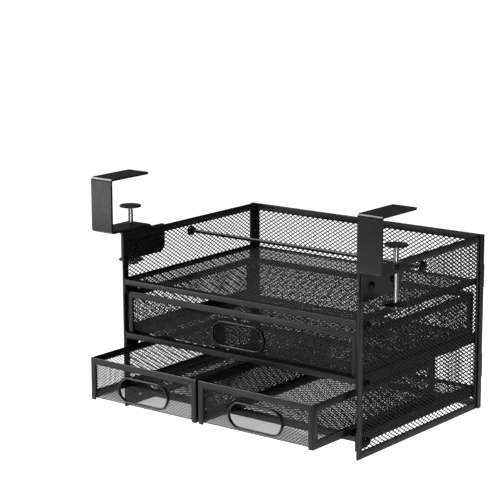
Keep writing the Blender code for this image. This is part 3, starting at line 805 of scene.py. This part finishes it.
for side in ("left", "right"):
    node = "clamp_knob_" + side
    low, high = [[c / MM for c in corner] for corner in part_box(node)]
    (x0, y0, _), _ = middle(node)
    flange, z, top = (high[0] - low[0]) / 2, low[2], high[2]
    under = [(0, z + 0.4), (4.8, z + 0.4), (5.2, z), (GRIP_R - 1.0, z), (GRIP_R - 0.3, z + 0.3),
             (GRIP_R, z + 0.8), (GRIP_R, z + 4.3), (GRIP_R + 0.4, z + 4.6)]
    rim = [(flange - 0.5, z + 4.8), (flange, z + 5.2), (flange, top - 0.5), (flange - 0.2, top - 0.15),
           (flange - 0.6, top)]
    bore = [(6.4, top), (6.0, top - 0.3), (4.2, top - 0.3), (3.9, top - 0.1), (3.3, top - 0.1),
            (3.3, z + 2.2), (0, z + 2.2)]
    body = turned(node + "_body", under + rim + bore, (x0, y0, 0), "Z", 56)
    seats = []
    for i in range(LOBES):
        a = 360.0 * i / LOBES - 51
        seats.append((x0 + (GRIP_R - 0.1) * math.cos(math.radians(a)),
                      y0 + (GRIP_R - 0.1) * math.sin(math.radians(a)), z + 0.6, (0, 0, a)))
    ribs = drive(node + "_ribs", knob_rib, seats, moulded_grip)
    keep(joined(node + "_moulded", [body, ribs]), "screw_" + side, [node], moulded_grip)
bpy.data.objects.remove(knob_rib, do_unlink=True)


# ==== Clamp pads =============================================================================
# The pad is a round black nylon disc with a socket below, which snaps over the screw's tip and
# presses on the underside of the desk. It is moulded, with a slightly dished face.
moulded_nylon = surface("moulded_nylon", "#121213", "#191919", 8, (0.35, 0.48), 4, 0.7, 0.008)
for side in ("left", "right"):
    node = "clamp_pad_" + side
    low, high = [[c / MM for c in corner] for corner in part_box(node)]
    (x0, y0, _), _ = middle(node)
    r, z, top = (high[0] - low[0]) / 2, low[2], high[2]
    socket = [(0, z + 2.5), (3.1, z + 2.5), (3.3, z + 2.3), (3.3, z + 0.3), (3.6, z), (4.3, z),
              (4.6, z + 0.3), (4.6, z + 1.2), (5.0, z + 1.5)]
    disc = [(r - 0.6, z + 1.6), (r - 0.1, z + 1.9), (r, z + 2.3), (r, top - 0.7), (r - 0.2, top - 0.2),
            (r - 0.7, top), (r - 2.0, top), (r - 2.6, top - 0.2), (0, top - 0.2)]
    pad = turned(node + "_moulded", socket + disc, (x0, y0, 0), "Z", 56)
    keep(pad, "pad_" + side, [node], moulded_nylon)


# ==== Floor, light and camera ================================================================
# A white glowing floor well below the hanging cabinet, a soft studio room, one softbox at the front
# left, a low strip, two high softboxes, and a long lens.
def paper(name, colour):
    """White paper lit from below like a light table, so it stays white where the lens looks at it."""
    mat = bpy.data.materials.new(name)
    mat.use_nodes = True
    tree = mat.node_tree
    shader = tree.nodes["Principled BSDF"]
    shader.inputs["Base Color"].default_value = linear(colour)
    shader.inputs["Roughness"].default_value = 0.9
    shader.inputs["Emission Color"].default_value = (1.0, 1.0, 1.0, 1.0)
    seen = add(tree, "ShaderNodeLightPath").outputs["Is Camera Ray"]
    glow = add(tree, "ShaderNodeMapRange", {"Value": seen, "To Min": 0.12, "To Max": 1.0})
    tree.links.new(glow.outputs["Result"], shader.inputs["Emission Strength"])
    return mat


FLOOR_HALF, FLOOR_Z = 60.0, -0.42
floor_mesh = bpy.data.meshes.new("floor")
floor_corners = [(x * FLOOR_HALF, y * FLOOR_HALF, FLOOR_Z) for x, y in ((-1, -1), (1, -1), (1, 1), (-1, 1))]
floor_mesh.from_pydata(floor_corners, [], [(0, 1, 2, 3)])
floor = as_object("floor", floor_mesh)
floor_mesh.materials.append(paper("white_paper", "#f4f4f4"))

bpy.context.scene.view_settings.view_transform = "Standard"
# the room: white where the lens looks at it, and a dim studio for the gloss
room = bpy.data.worlds.new("studio_room")
bpy.context.scene.world = room
room.use_nodes = True
walls = room.node_tree
seen = add(walls, "ShaderNodeLightPath").outputs["Is Camera Ray"]
white = add(walls, "ShaderNodeMapRange", {"Value": seen, "To Min": 0.06, "To Max": 1.1}).outputs[0]
walls.nodes["Background"].inputs["Color"].default_value = (1.0, 1.0, 1.0, 1.0)
walls.links.new(white, walls.nodes["Background"].inputs["Strength"])


def lamp(name, place, aim, wide, tall, power):
    data = bpy.data.lights.new(name, "AREA")
    data.shape, data.size, data.size_y, data.energy = "RECTANGLE", wide, tall, power
    ob = bpy.data.objects.new(name, data)
    bpy.context.scene.collection.objects.link(ob)
    ob.location = place
    ob.rotation_euler = (Vector(aim) - Vector(place)).to_track_quat("-Z", "Y").to_euler()
    return ob


lamp("front_left_softbox", (-1.15, -1.2, 0.12), (-0.19, -0.17, 0.2), 0.45, 0.5, 2.4)
lamp("low_front_strip", (0.95, -1.05, 0.0), (0.1, 0.0, 0.18), 0.26, 0.42, 4)
lamp("high_softbox", (0.9, -1.3, 1.8), (0, 0, 0.1), 1.2, 1.2, 4)
lamp("high_left_softbox", (-1.4, -0.5, 1.75), (-0.05, -0.1, 0.2), 1.3, 1.3, 70)

yaw, pitch, roll = math.radians(38.09), math.radians(11.99), math.radians(-0.23)
view = bpy.data.cameras.new("long_lens")
view.sensor_width = 36.0
view.lens = 133.93
view.clip_end = 200.0
camera = bpy.data.objects.new("long_lens", view)
bpy.context.scene.collection.objects.link(camera)
ahead = Vector((-math.sin(yaw) * math.cos(pitch), math.cos(yaw) * math.cos(pitch), -math.sin(pitch)))
flat_right = Vector((math.cos(yaw), math.sin(yaw), 0.0))
flat_up = flat_right.cross(ahead)
right = math.cos(roll) * flat_right + math.sin(roll) * flat_up
up = -math.sin(roll) * flat_right + math.cos(roll) * flat_up
turned_to = Matrix((right, up, -ahead)).transposed().to_4x4()
turned_to.translation = Vector((1.26503, -1.68073, 0.64329))
camera.matrix_world = turned_to
bpy.context.scene.camera = camera
